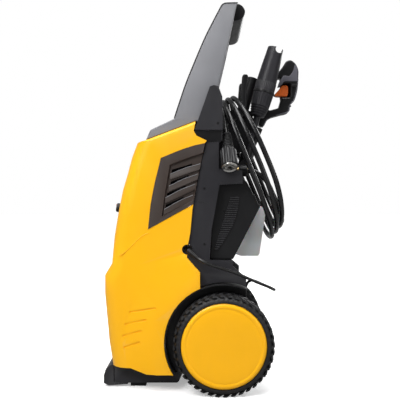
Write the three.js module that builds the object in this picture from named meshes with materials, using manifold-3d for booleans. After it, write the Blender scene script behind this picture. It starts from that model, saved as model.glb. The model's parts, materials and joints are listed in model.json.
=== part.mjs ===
// Upright electric pressure washer on two wheels.
// Millimetres, +Z up. The machine faces -Y, its rear is +Y, and X runs across it.
import * as THREE from 'three';
import { mergeVertices } from 'three/addons/utils/BufferGeometryUtils.js';
import Module from 'manifold-3d';

const wasm = await Module();
wasm.setup();

// ---------------------------------------------------------------- driving dimensions
const MACHINE_CENTRE_Y = 7.5;      // the group is moved back by this, so its box is centred on Y
const GAP = 0.35;                  // clearance between touching pieces
const SHELL_HALF = 128;            // half the casing's width
const FENDER_HALF = 140;           // half the width over the flared wheel arches
const SHELL_WALL = 3.2;
const TOP_ROUND = 9;               // rounding of the casing's top and side edges
const FRONT_ROUND = 34;            // rounding of the casing's upright front corners
const WHEEL_R = 111;
const WHEEL_Y = 44;
const WHEEL_Z = WHEEL_R;
const WHEEL_IN = 113;              // X of the wheel's inner face
const WHEEL_OUT = 170;             // X of the wheel's outer face
const ARCH_R = 132;
const LINER_WALL = 3;
const FLARE_IN_R = 164;            // the flare is flat inside this radius
const FLARE_OUT_R = 217;           // and has run out into the casing's side at this one
const AXLE_R = 8;
const ARM_OUT = 120;               // outer face of a handle arm
const ARM_IN = 94;
const COLUMN_HALF = 122;
const CHEEK_IN = 110;
const COVER_HALF = 100;
const TRAY_HALF = 96;
const HOSE_R = 6;
const LEAD_R = 3.5;
const LANCE_X = 0;
const GUN_X = -60;
const GUN_HALF = 15;
const HOLDER_X = -30;
const BOTTLE_X = -28;
const BOTTLE_HALF = 36;
const MOTOR_Y = -95;
const MOTOR_R = 58;
const SEAM_TURNS = 40;             // segments round a large turned piece
const FINE_TURNS = 20;             // segments round a small one

// ---------------------------------------------------------------- materials
const finish = (color, roughness, metalness = 0) =>
  new THREE.MeshStandardMaterial({ color, roughness, metalness });
const YELLOW = finish(0xfcbc14, 0.4);
const GREY = finish(0x7b7c80, 0.6);
const CHARCOAL = finish(0x35353a, 0.6);
const BLACK = finish(0x141416, 0.5);
const BROWN_GREY = finish(0x3b3433, 0.6);
const RUBBER = finish(0x1c1c1d, 0.9);
const ORANGE = finish(0xd2580e, 0.45);
const STEEL = finish(0xb8b8b4, 0.3, 1);
const BRASS = finish(0xb08d4a, 0.4, 1);
const ALUMINIUM = finish(0xa9abad, 0.45, 1);
const MILKY = finish(0xd6d4d2, 0.5);
const GUN_GREY = finish(0x55545c, 0.55);

// ---------------------------------------------------------------- helpers
const washer = new THREE.Group();
washer.position.y = -MACHINE_CENTRE_Y;

const vec = ([x, y, z]) => new THREE.Vector3(x, y, z);

function solidOf(geometry) {
  const plain = geometry.index ? geometry.toNonIndexed() : geometry.clone();
  plain.deleteAttribute('normal');
  plain.deleteAttribute('uv');
  const merged = mergeVertices(plain, 1e-4);
  return new wasm.Manifold(new wasm.Mesh({
    numProp: 3,
    vertProperties: new Float32Array(merged.attributes.position.array),
    triVerts: new Uint32Array(merged.index.array),
  }));
}

function geometryOf(solid) {
  const mesh = solid.getMesh();
  const geometry = new THREE.BufferGeometry();
  geometry.setAttribute('position', new THREE.BufferAttribute(new Float32Array(mesh.vertProperties), 3));
  geometry.setIndex(new THREE.BufferAttribute(new Uint32Array(mesh.triVerts), 1));
  geometry.computeVertexNormals();
  return geometry;
}

function add(name, material, solid) {
  const mesh = new THREE.Mesh(geometryOf(solid), material);
  mesh.name = name;
  washer.add(mesh);
  return mesh;
}

const union = (...solids) => solids.reduce((sum, next) => sum.add(next));

function extrude(shape, depth, basis, origin, options = {}) {
  const settings = { depth, bevelEnabled: false, curveSegments: 10, ...options };
  const geometry = new THREE.ExtrudeGeometry(shape, settings);
  const matrix = new THREE.Matrix4().makeBasis(...basis);
  matrix.setPosition(origin);
  geometry.applyMatrix4(matrix);
  return solidOf(geometry);
}

const X = new THREE.Vector3(1, 0, 0);
const Y = new THREE.Vector3(0, 1, 0);
const Z = new THREE.Vector3(0, 0, 1);

// An outline of [y, z] points, swept across the machine from x0 to x1.
function sideSweep(points, x0, x1) {
  const shape = points instanceof THREE.Shape
    ? points
    : new THREE.Shape(points.map(([y, z]) => new THREE.Vector2(y, z)));
  return extrude(shape, x1 - x0, [Y, Z, X], new THREE.Vector3(x0, 0, 0));
}

// An outline of [x, y] points, raised from z0 to z1.
function planSweep(points, z0, z1) {
  const shape = new THREE.Shape(points.map(([x, y]) => new THREE.Vector2(x, y)));
  return extrude(shape, z1 - z0, [X, Y, Z], new THREE.Vector3(0, 0, z0));
}

function block(x0, x1, y0, y1, z0, z1) {
  return planSweep([[x0, y0], [x1, y0], [x1, y1], [x0, y1]], z0, z1);
}

// A turned piece: [radius, height] points about the line that leaves `foot` along `axis`.
function turned(points, foot, axis, segments = SEAM_TURNS) {
  const geometry = new THREE.LatheGeometry(points.map(([r, h]) => new THREE.Vector2(r, h)), segments);
  const turn = new THREE.Quaternion().setFromUnitVectors(Y, axis.clone().normalize());
  geometry.applyQuaternion(turn);
  geometry.translate(foot.x, foot.y, foot.z);
  return solidOf(geometry);
}

function rod(from, to, radius, segments = FINE_TURNS) {
  const along = to.clone().sub(from);
  const length = along.length();
  return turned([[0, 0], [radius, 0], [radius, length], [0, length]], from, along, segments);
}

function ring(outer, inner, from, to, segments = SEAM_TURNS) {
  const along = to.clone().sub(from);
  const length = along.length();
  const wall = [[inner, 0], [outer, 0], [outer, length], [inner, length], [inner, 0]];
  return turned(wall, from, along, segments);
}

function tube(points, radius, steps, sides = 8) {
  const path = new THREE.CatmullRomCurve3(points.map(vec), false, 'centripetal');
  const section = new THREE.Shape();
  for (let i = 0; i < sides; i += 1) {
    const angle = (i / sides) * 2 * Math.PI;
    const point = [radius * Math.cos(angle), radius * Math.sin(angle)];
    if (i === 0) section.moveTo(...point);
    else section.lineTo(...point);
  }
  section.closePath();
  return solidOf(new THREE.ExtrudeGeometry(section, { steps, extrudePath: path, bevelEnabled: false }));
}

const mirrored = (solid) => solid.mirror([1, 0, 0]);

// Adds a right-hand piece (+X) and its mirror image (-X).
function addPair(name, material, solid) {
  add(`${name}_right`, material, solid);
  add(`${name}_left`, material, mirrored(solid));
}

// ---------------------------------------------------------------- casing
const FRONT_LINE = [
  [-205, 40], [-216, 107], [-221, 161], [-226, 215], [-226, 257], [-210, 284],
  [-204, 346], [-195, 401], [-185, 451], [-174, 488], [-164, 526], [-152, 558],
];
const CASING_TOP_SLOPE = 42 / 111;
const TOP_FRONT = [-129, 564];
const topAt = (y) => TOP_FRONT[1] + (y - TOP_FRONT[0]) * CASING_TOP_SLOPE;

function casing(half, inset, round, raise) {
  const outline = [
    [-205, -60], ...FRONT_LINE,
    ...(raise ? [[-140, 700], [90, 700]] : [TOP_FRONT, [90, topAt(90)]]),
    [90, -60],
  ];
  const shape = new THREE.Shape(outline.map(([y, z]) => new THREE.Vector2(y, z)));
  const width = 2 * (half - inset - round);
  const options = {
    bevelEnabled: true,
    bevelThickness: round,
    bevelSize: round,
    bevelOffset: -(round + inset),
    bevelSegments: 4,
  };
  return extrude(shape, width, [Y, Z, X], new THREE.Vector3(-width / 2, 0, 0), options);
}

const wheelAt = (x) => new THREE.Vector3(x, WHEEL_Y, WHEEL_Z);
const outerForm = casing(SHELL_HALF, 0, TOP_ROUND, false).intersect(casing(SHELL_HALF, 0, FRONT_ROUND, true));
const innerForm = casing(SHELL_HALF, SHELL_WALL, TOP_ROUND, false)
  .intersect(casing(SHELL_HALF, SHELL_WALL, FRONT_ROUND - SHELL_WALL, true));

const FLARE_ROOT = 124;
const flareRise = (FLARE_OUT_R - FLARE_IN_R) / (FENDER_HALF - SHELL_HALF);
const flareRoot = FLARE_OUT_R + flareRise * (SHELL_HALF - FLARE_ROOT);
const flareCone = turned(
  [[0, 0], [flareRoot, 0], [FLARE_IN_R, FENDER_HALF - FLARE_ROOT], [0, FENDER_HALF - FLARE_ROOT]],
  wheelAt(FLARE_ROOT), X, 64,
);
const wideForm = casing(FENDER_HALF + 10, 0, TOP_ROUND, false)
  .intersect(casing(FENDER_HALF + 10, 0, FRONT_ROUND, true));
const flare = flareCone.intersect(wideForm);

const CASING_REAR = [
  [-18, 640], [-18, 606], [-22, 584], [-16, 573], [7, 562], [3, 556], [-7, 506], [-15, 467],
  [-25, 407], [-30, 354], [-37, 318], [-37, 300], [-8, 268], [-8, 100],
];
const behindCasing = sideSweep([...CASING_REAR, [-8, -90], [140, -90], [140, 720], [-18, 720]], -200, 200);
const belowCasing = sideSweep(
  [[-260, 54], [-200, 54], [-163, 53], [-127, 41], [60, 40], [60, -90], [-260, -90]], -200, 200,
);
const archCut = rod(wheelAt(96), wheelAt(160), ARCH_R, 64);

const LOUVRES = [
  [[-166, 178], [-106, 189]], [[-177, 151], [-127, 163]], [[-181, 125], [-138, 138]], [[-179, 99], [-142, 113]],
];
const LOUVRE_HALF = 2.4;
const LOUVRE_DEPTH = 2.3;
function flareAt([y, z]) {
  const reach = Math.hypot(y - WHEEL_Y, z - WHEEL_Z);
  const rise = THREE.MathUtils.clamp((FLARE_OUT_R - reach) / (FLARE_OUT_R - FLARE_IN_R), 0, 1);
  return SHELL_HALF + rise * (FENDER_HALF - SHELL_HALF);
}
// A groove of even depth that follows the casing's side up the flare.
function louvreCut(ends) {
  return wasm.Manifold.hull(ends.flatMap((end) => {
    const [y, z] = end;
    const floor = flareAt(end) - LOUVRE_DEPTH;
    return [
      [floor, y, z - LOUVRE_HALF], [floor, y, z + LOUVRE_HALF],
      [floor + 12, y, z - LOUVRE_HALF - 1.5], [floor + 12, y, z + LOUVRE_HALF + 0.4],
    ];
  }));
}

const GRILLE = [
  [-124, 364], [-23, 420], [-15, 467], [-7, 506], [3, 556], [-20, 551], [-48, 542], [-75, 531], [-95, 523],
  [-109, 467], [-118, 421],
];
// The window is the grille's outline a hair larger, and open towards the rear.
function grown(points, margin) {
  const mean = (axis) => points.reduce((sum, point) => sum + point[axis], 0) / points.length;
  const centre = [mean(0), mean(1)];
  return points.map(([y, z]) => {
    const away = new THREE.Vector2(y - centre[0], z - centre[1]).setLength(margin);
    return [y + away.x, z + away.y];
  });
}
const grilleWindow = sideSweep(grown(GRILLE, 0.6), 116, 140);

const GLAND = new THREE.Vector3(SHELL_HALF, -37, 318);
const glandHole = rod(new THREE.Vector3(115, GLAND.y, GLAND.z), new THREE.Vector3(140, GLAND.y, GLAND.z), 11.5);
const SWITCH_Z = 409;
const SWITCH_AXIS = new THREE.Vector3(0, -1, 0.18).normalize();
const switchFoot = new THREE.Vector3(0, -180, SWITCH_Z - 4);
const switchHole = rod(switchFoot, switchFoot.clone().addScaledVector(SWITCH_AXIS, 40), 15.5);

let shell = outerForm.subtract(innerForm);
shell = union(shell, flare, mirrored(flare));
for (const cut of [
  behindCasing, belowCasing, archCut, mirrored(archCut), grilleWindow, mirrored(grilleWindow),
  glandHole, switchHole, ...LOUVRES.map(louvreCut), ...LOUVRES.map(louvreCut).map(mirrored),
]) shell = shell.subtract(cut);
add('casing', YELLOW, shell);

// ---------------------------------------------------------------- side grilles
const GRILLE_OUT = 129;
const GRILLE_BACK = 121;
const RECESS = [
  [-94, 391], [-24, 427], [-14, 467], [-6, 506], [2, 536], [-40, 522], [-76, 508], [-86, 450],
];
const RECESS_FLOOR = GRILLE_BACK + 2.5;
const BLADES = [
  [[-75, 485], [4, 512]], [[-78, 458], [-6, 488]], [[-86, 432], [-12, 466]], [[-89, 406], [-18, 441]],
];
function grille() {
  const mouth = RECESS.map(([y, z]) => [GRILLE_OUT + 0.5, y, z]);
  const floor = grown(RECESS, -4.5).map(([y, z]) => [RECESS_FLOOR, y, z]);
  let piece = sideSweep(GRILLE, GRILLE_BACK, GRILLE_OUT).subtract(wasm.Manifold.hull([...mouth, ...floor]));
  const blades = BLADES.map(([from, to]) => sideSweep([
    [from[0], from[1] - 10], [to[0], to[1] - 10], [to[0] + 1, to[1] + 3], [from[0], from[1] + 3],
  ], RECESS_FLOOR - 1.5, GRILLE_OUT - 1.5).intersect(sideSweep(GRILLE, 110, 140)));
  piece = union(piece, ...blades);
  for (const [from, to] of BLADES) {
    const [endY, endZ] = [from[0] + (to[0] - from[0]) * 0.62, from[1] + (to[1] - from[1]) * 0.62];
    piece = piece.subtract(sideSweep([
      [from[0] + 3, from[1] + 4.5], [endY, endZ + 3.5], [endY, endZ + 9], [from[0] + 4, from[1] + 12],
    ], 110, 140));
  }
  return piece;
}
addPair('grille', BROWN_GREY, grille());

// ---------------------------------------------------------------- handle
const armRear = (z) => 77 - (871 - z) * 0.236;
const ARM_FRONT = [[-67, 613], [-55, 649], [-41, 690], [-23, 735], [-7, 773], [8, 806], [36, 860]];
const ARM_FOOT_Z = 612;
const arm = sideSweep([
  ...ARM_FRONT, [41, 868], [48, 872], [76, 873], [armRear(807), 807], [armRear(ARM_FOOT_Z), ARM_FOOT_Z],
  [-66.6, ARM_FOOT_Z],
], ARM_IN, ARM_OUT);
const GRIP = [
  [38, 862], [48, 872], [66, 877], [80, 878], [90, 872], [96, 861], [93, 849], [84, 841], [70, 838], [52, 846],
];
const gripInArm = sideSweep(grown(GRIP, 0.4), ARM_IN - 1, ARM_IN + 8);
addPair('handle_arm', GREY, arm.subtract(gripInArm));
add('handle_grip', BLACK, sideSweep(GRIP, -ARM_IN - 7.5, ARM_IN + 7.5));
const baseFoot = (y) => topAt(y) + GAP;
add('handle_base', GREY, sideSweep([
  [-130, baseFoot(-130)], [-120, 587], [-68, ARM_FOOT_Z - GAP], [12, ARM_FOOT_Z - GAP], [-17.5, baseFoot(-17.5)],
], -ARM_OUT, ARM_OUT));

// ---------------------------------------------------------------- bracket covers behind the arms
const wedgeSkin = sideSweep(
  [[14, 683], [23, 686], [33, 684], [38, 671], [42, 660], [43, 586], [-20, 586]], ARM_OUT + 0.4, SHELL_HALF,
);
const wedgeCore = sideSweep([
  [armRear(668) + 1, 668], [38, 668], [42, 658], [43, 586], [14, 586], [15, ARM_FOOT_Z],
  [armRear(ARM_FOOT_Z) + 1, ARM_FOOT_Z],
], ARM_IN, ARM_OUT + 1);
addPair('bracket_cover', CHARCOAL, union(wedgeSkin, wedgeCore));

// ---------------------------------------------------------------- rear column
function archSteps(fromY, toY, radius, count) {
  const points = [];
  for (let i = 0; i <= count; i += 1) {
    const y = fromY + ((toY - fromY) * i) / count;
    points.push([y, WHEEL_Z + Math.sqrt(radius ** 2 - (y - WHEEL_Y) ** 2)]);
  }
  return points;
}
const cheek = sideSweep([
  [-21, 585.4], [42, 585.4], [42, 563], [34.5, 558], [34.5, 498], [87, 496], [88, 466], [36, 463], [18, 361],
  [14, 294], [67, 292], [66, 280], [96, 254], ...archSteps(96, -7, ARCH_R + 1, 8), [-7, 262], [-36, 290],
  [-44, 296], [-49, 318], [-41, 354], [-36, 407], [-22, 420.5], [-14, 467], [-6, 506], [4, 550],
  [4.6, 557.4], [-5, 558.5], [-19, 570],
], CHEEK_IN, COLUMN_HALF);
const cheekRelief = rod(
  new THREE.Vector3(100, GLAND.y, GLAND.z), new THREE.Vector3(140, GLAND.y, GLAND.z), 12.5,
);
const sideCheek = cheek.subtract(cheekRelief);
const backWeb = sideSweep([
  [-6, 292], [13, 292], [17, 361], [30, 463], [30, 496], [24, 520], [30, 559], [4, 559],
  [-2, 500], [-8, 407], [-16, 330],
], -CHEEK_IN - 0.5, CHEEK_IN + 0.5);
const upperWeb = sideSweep([[4, 558], [30, 558], [30, 602], [19, 602]], -ARM_IN + 2, ARM_IN - 2);
const ventCut = sideSweep([[-30, 380], [40, 380], [40, 440], [-30, 440]], -70, 70);
const nutGuard = sideSweep([[26, 498], [56, 498], [56, 560], [50, 586], [38, 586], [32, 559], [26, 559]], 64, 78);
add('rear_frame', CHARCOAL, union(sideCheek, mirrored(sideCheek), backWeb, upperWeb, nutGuard).subtract(ventCut));

const COVER = [[19, 361], [33, 462], [33, 484], [88, 480], [99, 471], [130, 414], [68, 294], [15.5, 294]];
const coverVoid = sideSweep(
  [[10, 361], [20, 480.5], [86, 476.8], [97, 468], [126, 414], [66, 297.5], [5, 297.5]],
  -COVER_HALF + 3, COVER_HALF - 3,
);
add('rear_cover', BLACK, sideSweep(COVER, -COVER_HALF, COVER_HALF).subtract(coverVoid));

// ---------------------------------------------------------------- hose hook and holders
const HOOK_X = 52;
const HOOK_HALF = 9;
const prong = [
  [31, 562], [31, 625], [45, 633], [81, 645.5], [89, 660], [89, 684], [92, 722], [95, 726], [103, 726], [106, 722],
  [102, 684], [102, 650], [94, 628], [60, 610], [44, 600], [44, 562],
];
const hook = union(
  sideSweep(prong, HOOK_X - HOOK_HALF, HOOK_X + HOOK_HALF),
  sideSweep(prong, -HOOK_X - HOOK_HALF, -HOOK_X + HOOK_HALF),
  block(-HOOK_X, HOOK_X, 30.6, 42, 562, 600),
);
add('hose_hook', BLACK, hook);

const LEAN = THREE.MathUtils.degToRad(15.3);
const lanceAxis = new THREE.Vector3(0, Math.sin(LEAN), Math.cos(LEAN));
const lanceRing = new THREE.Vector3(LANCE_X, 149, 694);
const lanceAt = (h) => lanceRing.clone().addScaledVector(lanceAxis, h);
const GUN_LEAN = THREE.MathUtils.degToRad(22);
const gunAxis = new THREE.Vector3(0, Math.sin(GUN_LEAN), Math.cos(GUN_LEAN));
const gunFoot = new THREE.Vector3(GUN_X, 150, 627);
const gunAt = (h) => gunFoot.clone().addScaledVector(gunAxis, h);

const LANCE_SEAT = -205;
const GUN_SEAT = -106;
const holderTop = new THREE.Vector3(HOLDER_X, 125, 736);
const holderAt = (h) => holderTop.clone().addScaledVector(lanceAxis, h);
const holsterBase = sideSweep([
  [36, 485], [86, 481.5], [96, 486], [120, 522], [114, 536], [92, 524], [80, 498], [36, 497],
], GUN_X - 16, LANCE_X + 18);
let holster = union(
  holsterBase,
  rod(lanceAt(LANCE_SEAT - 4), lanceAt(LANCE_SEAT + 60), 15, FINE_TURNS),
  rod(gunAt(GUN_SEAT - 4), gunAt(GUN_SEAT + 40), 14, FINE_TURNS),
);
holster = holster.subtract(rod(lanceAt(LANCE_SEAT - 0.4), lanceAt(LANCE_SEAT + 90), 11, FINE_TURNS));
holster = holster.subtract(rod(gunAt(GUN_SEAT), gunAt(GUN_SEAT + 90), 10, FINE_TURNS));
add('gun_holster', BLACK, holster);

const holderBody = ring(12, 9, holderAt(-100), holderAt(0), FINE_TURNS)
  .add(rod(holderAt(-100), holderAt(-96), 11.5, FINE_TURNS))
  .add(sideSweep([
    [43, 562], [56, 545], [110, 551], [127, 575], [131, 620], [121, 652], [98, 660], [56, 606], [43, 598],
  ], -38, -30));
add('nozzle_holder', GUN_GREY, holderBody
  .subtract(rod(holderAt(-96), holderAt(10), 9, FINE_TURNS))
  .subtract(sideSweep([[0, 500], [43.4, 500], [43.4, 700], [0, 700]], -60, 0)));

// ---------------------------------------------------------------- lance with its turning nozzle ring
const lanceProfile = [
  [0, -205], [6, -205], [6, -90], [8, -88], [8, -64], [13, -62], [17, -60], [19, -56], [21, -50], [22.5, -34],
  [25, -12], [25.4, -3], [0, -3],
];
add('lance_body', CHARCOAL, turned(lanceProfile, lanceRing, lanceAxis, 28));
const nozzleProfile = [
  [0, 3.4], [25.4, 3.4], [24.6, 30], [22.6, 66], [20.6, 92], [19.4, 112], [16.6, 112], [15, 80], [0, 80],
];
const notchCentre = lanceAt(106).add(new THREE.Vector3(0, 8, 0));
const nozzleNotch = rod(
  notchCentre.clone().addScaledVector(X, -40), notchCentre.clone().addScaledVector(X, 40), 9,
);
add('turbo_nozzle', CHARCOAL, turned(nozzleProfile, lanceRing, lanceAxis, 28).subtract(nozzleNotch));
add('lance_collar', BLACK, ring(26.4, 20, lanceAt(-2.6), lanceAt(3), 28));

// ---------------------------------------------------------------- trigger gun
const gunOuter = [
  [141, 620], [152, 615], [166, 638], [217, 652], [222, 672], [232, 682], [240, 709], [243.5, 739], [244, 761],
  [237, 777], [224, 787], [212, 784], [203, 769], [182, 742], [160, 690], [147, 645],
];
const gunGap = [
  [167, 657], [193, 664], [199, 684], [199, 690.5], [222, 690.5], [222, 726], [200, 726], [197, 742], [188, 737],
  [175, 700],
];
const gunShape = new THREE.Shape(gunOuter.map(([y, z]) => new THREE.Vector2(y, z)));
gunShape.holes.push(new THREE.Path(gunGap.map(([y, z]) => new THREE.Vector2(y, z))));
add('gun_body', GUN_GREY, sideSweep(gunShape, GUN_X - GUN_HALF, GUN_X + GUN_HALF));
add('gun_barrel', BLACK, rod(gunAt(GUN_SEAT + 0.4), gunAt(-14), 9, 16));
const TRIGGER = [[182, 697], [188, 694], [214, 693], [217, 700], [218, 718], [214, 723], [203, 722], [192, 706]];
add('trigger', ORANGE, sideSweep(TRIGGER, GUN_X - 9, GUN_X + 9));
const gunFace = GUN_X + GUN_HALF;
add('trigger_lock', BLACK, block(gunFace + 0.4, gunFace + 5, 225, 236, 716.5, 723));

// ---------------------------------------------------------------- detergent bottle
const bottleSide = [
  [92, 292], [134, 292], [138, 297], [153, 400], [151, 408], [143, 413], [126, 413], [119, 400], [76, 305],
  [80, 296],
];
const bottleOutline = sideSweep(bottleSide, BOTTLE_X - BOTTLE_HALF, BOTTLE_X + BOTTLE_HALF);
const bottleInside = sideSweep(
  [
    [94, 295], [132, 295], [135, 299], [149, 400], [148, 405], [142, 409], [130, 409], [123, 398], [81, 306],
    [84, 299],
  ],
  BOTTLE_X - BOTTLE_HALF + 3, BOTTLE_X + BOTTLE_HALF - 3,
);
const neckAxis = new THREE.Vector3(0, 1, 0.14).normalize();
const neckAt = (h) => new THREE.Vector3(BOTTLE_X, 149, 384).addScaledVector(neckAxis, h);
const bottleMouth = rod(neckAt(-9), neckAt(10), 5, 12);
const bottleNeck = rod(neckAt(-4), neckAt(6), 7.5, 16);
const CRADLE_CLEAR = 1;
const cradleCut = sideSweep(COVER.map(([y, z]) => [y + CRADLE_CLEAR, z]), -120, 120);
add('detergent_bottle', MILKY, bottleOutline.subtract(bottleInside).add(bottleNeck)
  .subtract(bottleMouth).subtract(cradleCut));
const CAP = [[8, 5.4], [10, 5.4], [10, 15], [0, 15], [0, 6.4], [8, 6.4], [8, 5.4]];
add('bottle_cap', BLACK, turned(CAP, neckAt(0), neckAxis, FINE_TURNS));

// ---------------------------------------------------------------- chassis tray, feet and axle
const floorPan = sideSweep([
  [-204, 53], [-172, 53], [-172, 44], [-60, 34], [-50, 62], [-20, 84], [96, 84], [96, 72], [-10, 72], [-40, 50],
  [-56, 14], [-60, 10], [-172, 10], [-204, 12],
], -TRAY_HALF, TRAY_HALF);
const rail = sideSweep([
  [-60, 34], [-60, 60], [-40, 120], [-6, 220], [14, 240], [60, 244], [96, 228], [96, 72], [-10, 72],
], TRAY_HALF - 10, TRAY_HALF);
const axleCut = rod(wheelAt(-140), wheelAt(140), AXLE_R + 0.3, FINE_TURNS);
add('base_tray', CHARCOAL, union(floorPan, rail, mirrored(rail)).subtract(axleCut));
add('front_foot', GUN_GREY, sideSweep(
  [[-205, 51.5], [-212, 51.5], [-225, 40], [-229, 27], [-229, 8], [-218, 3], [-174, 6], [-172.4, 9.6], [-204.6, 11.6]],
  -TRAY_HALF + 1, TRAY_HALF - 1,
));
addPair('foot_pad', RUBBER, block(60, 88, -168, -132, 0, 9.6));
add('axle', STEEL, rod(wheelAt(-WHEEL_OUT + 24), wheelAt(WHEEL_OUT - 24), AXLE_R, FINE_TURNS));

// ---------------------------------------------------------------- wheel arches and wheels
const linerWall = ring(ARCH_R - 1, ARCH_R - 1 - LINER_WALL, wheelAt(TRAY_HALF + 8), wheelAt(FENDER_HALF - 2), 48);
const linerDisc = ring(ARCH_R - 1, AXLE_R + 6, wheelAt(TRAY_HALF + 5), wheelAt(TRAY_HALF + 8.5), 48);
const linerSpan = sideSweep(
  [[-100, 42], [-100, 262], [-7.5, 262], [-7.5, 246], [97, 246], [97, 84], [-10, 84], [-40, 42]], 90, 150,
);
addPair('arch_liner', BLACK, union(linerWall, linerDisc).intersect(linerSpan));

function wheel(side) {
  const at = (x) => wheelAt(side * x);
  const along = new THREE.Vector3(side, 0, 0);
  const name = side > 0 ? 'right' : 'left';
  const tyre = [
    [94, 0], [104, 0], [109, 4], [111, 10], [111, 44], [108.5, 51], [103, 55], [95, 56], [94, 50], [94, 0],
  ];
  add(`tyre_${name}`, RUBBER, turned(tyre, at(WHEEL_IN), along, 36));
  const rimProfile = [
    [AXLE_R + 0.4, 0], [16, 0], [16, 20], [86, 20], [86, 2], [93.6, 2], [93.6, 49], [86, 49], [86, 24], [16, 24],
    [16, 30], [AXLE_R + 0.4, 30], [AXLE_R + 0.4, 0],
  ];
  add(`rim_${name}`, CHARCOAL, turned(rimProfile, at(WHEEL_IN), along, 28));
  const capProfile = [
    [0, 54], [30, 54], [76, 54], [86, 51], [91, 49.5], [93.6, 51], [93.2, 53], [88, 56.6], [60, 57], [0, 57],
  ];
  add(`hubcap_${name}`, YELLOW, turned(capProfile, at(WHEEL_IN), along, 32));
}
wheel(1);
wheel(-1);

// ---------------------------------------------------------------- power switch
const switchAt = (h) => switchFoot.clone().addScaledVector(SWITCH_AXIS, h);
add('switch_bezel', BLACK, turned(
  [[9, 6], [15, 6], [15, 14], [18, 17], [18, 19], [9, 19], [9, 6]], switchFoot, SWITCH_AXIS, FINE_TURNS,
));
add('power_knob', BLACK, turned([[0, 7], [8.4, 7], [8.4, 19.5], [11, 20], [11, 33], [9.6, 34.5], [0, 34.5]],
  switchFoot, SWITCH_AXIS, FINE_TURNS));
add('switch_box', CHARCOAL, block(-24, 24, -176, -156, 385, 428));

// ---------------------------------------------------------------- motor and pump
const motorAt = (z) => new THREE.Vector3(0, MOTOR_Y, z);
add('motor_housing', ALUMINIUM, ring(MOTOR_R - 6, MOTOR_R - 10, motorAt(232), motorAt(388), 32));
const END_CAP = [
  [52, 388.4], [MOTOR_R, 388.4], [MOTOR_R, 428], [20, 434], [20, 430], [53, 424], [53, 392], [52, 388.4],
];
add('motor_end_cap', CHARCOAL, turned(END_CAP, motorAt(0), Z, 32));
add('rotor', STEEL, turned(
  [[0, 226], [6, 226], [6, 246], [34, 246], [34, 376], [6, 376], [6, 392], [0, 392]], motorAt(0), Z, 24,
));
let fan = rod(motorAt(392.4), motorAt(412), 12, 20);
for (let i = 0; i < 7; i += 1) {
  const blade = solidOf(new THREE.BoxGeometry(38, 2.4, 16).translate(28, 0, 402))
    .rotate([0, 0, (i * 360) / 7]).translate([0, MOTOR_Y, 0]);
  fan = fan.add(blade);
}
add('cooling_fan', BLACK, fan);
add('pump_body', ALUMINIUM, turned(
  [[0, 150.4], [46, 150.4], [46, 200], [54, 204], [54, 231.6], [9, 231.6], [9, 222], [0, 222]], motorAt(0), Z, 28,
));
const MANIFOLD_BOTTOM = 96;
add('pump_manifold', BRASS, block(-50, 50, MOTOR_Y - 36, MOTOR_Y + 36, MANIFOLD_BOTTOM, 150));
add('capacitor', BLACK, rod(new THREE.Vector3(78, -120, 262), new THREE.Vector3(78, -120, 336), 19, 20));
const OUTLET_X = 62;
const INLET_X = 42;
const outletPort = new THREE.Vector3(30, MOTOR_Y + 36.4, 124);
add('outlet_pipe', STEEL, tube([
  outletPort.toArray(), [30, -44, 124], [34, -28, 160], [40, -26, 260], [44, -26, 400], [48, -14, 460],
], 6, 18));
add('inlet_fitting', BRASS, union(
  rod(new THREE.Vector3(INLET_X, -4, 270), new THREE.Vector3(INLET_X, 66, 270), 9, 16),
  rod(new THREE.Vector3(INLET_X, 40, 270), new THREE.Vector3(INLET_X, 60, 270), 13, 16),
));
add('outlet_fitting', BRASS, union(
  rod(new THREE.Vector3(OUTLET_X, 70, 498), new THREE.Vector3(OUTLET_X, 104, 498), 9, 16),
  rod(new THREE.Vector3(OUTLET_X, 84, 498), new THREE.Vector3(OUTLET_X, 98, 498), 12, 16),
));

// ---------------------------------------------------------------- high pressure hose
const COIL_CENTRE = new THREE.Vector3(0, 121.6, 512.3);  // middle of the hanging loops
const COIL_DROP = new THREE.Vector3(0, 0.386, -0.9225);
const COIL_NORMAL = new THREE.Vector3(0, 0.9225, 0.386);
const COIL_HALF_WIDTH = 125;
const COIL_HALF_LENGTH = 171;
const COIL_BAND = 12;
const COIL_HALF_DEPTH = 21;
const COIL_SQUARENESS = 2.6;       // 2 is an ellipse, more is squarer
function ovalPoints(halfWidth, halfLength, count = 40) {
  const flatten = (value) => Math.sign(value) * Math.abs(value) ** (2 / COIL_SQUARENESS);
  return Array.from({ length: count }, (_, i) => {
    const angle = (i / count) * 2 * Math.PI;
    return new THREE.Vector2(halfWidth * flatten(Math.cos(angle)), halfLength * flatten(Math.sin(angle)));
  });
}
const band = new THREE.Shape(ovalPoints(COIL_HALF_WIDTH + COIL_BAND, COIL_HALF_LENGTH + COIL_BAND));
band.holes.push(new THREE.Path(ovalPoints(COIL_HALF_WIDTH - COIL_BAND, COIL_HALF_LENGTH - COIL_BAND)));
const coilBasis = [X, COIL_NORMAL.clone().cross(X), COIL_NORMAL];
add('hose_coil', BLACK, extrude(
  band, 2 * COIL_HALF_DEPTH, coilBasis, COIL_CENTRE.clone().addScaledVector(COIL_NORMAL, -COIL_HALF_DEPTH),
));

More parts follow.
